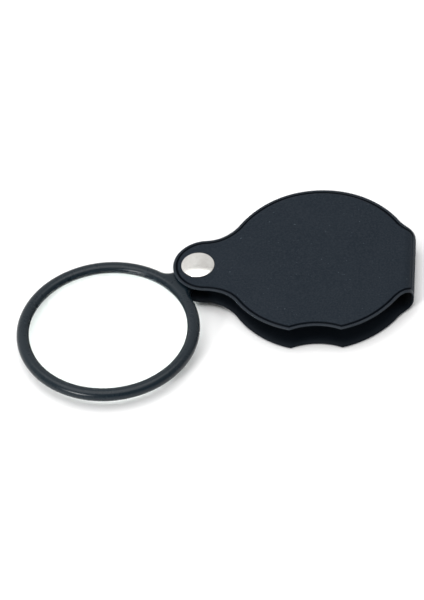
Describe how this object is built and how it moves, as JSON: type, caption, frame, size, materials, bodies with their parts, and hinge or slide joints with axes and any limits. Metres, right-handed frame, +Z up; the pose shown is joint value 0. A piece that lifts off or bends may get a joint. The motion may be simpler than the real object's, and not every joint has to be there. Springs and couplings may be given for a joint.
{
  "type": "folding pocket magnifier",
  "caption": "Round hand lens in a black moulded ring that swings on a rivet out of a folded black leatherette sleeve with a thumb notch.",
  "frame": {"origin": "centre of the sleeve's round body, on its underside", "axes": "+X along the sleeve towards the fold, -Y towards the thumb notch, +Z up through the thickness"},
  "size_m": [0.1229, 0.0827, 0.0098],
  "materials": {
    "leatherette": "fine-grained, satin",
    "lining": "smooth, matt",
    "board": "plain greyboard",
    "frame_plastic": "moulded, satin gloss",
    "lens_glass": "polished, clear",
    "rivet_nickel": "nickel plate, lightly brushed",
    "rivet_steel": "plain"
  },
  "bodies": {
    "sleeve": {"sleeve_cover": "leatherette", "sleeve_lining": "lining", "upper_board": "board", "lower_board": "board", "rivet_top_cap": "rivet_nickel", "rivet_stud": "rivet_steel", "rivet_bottom_cap": "rivet_nickel", "rivet_socket": "rivet_steel"},
    "lens_arm": {"lens_frame": "frame_plastic", "lens": "lens_glass", "retaining_ring": "frame_plastic"}
  },
  "joints": [
    {"name": "lens_swing", "type": "hinge", "parent": "sleeve", "child": "lens_arm", "pos_m": [-0.0375, 0, 0.0049], "axis": [0, 0, 1], "continuous": true}
  ]
}
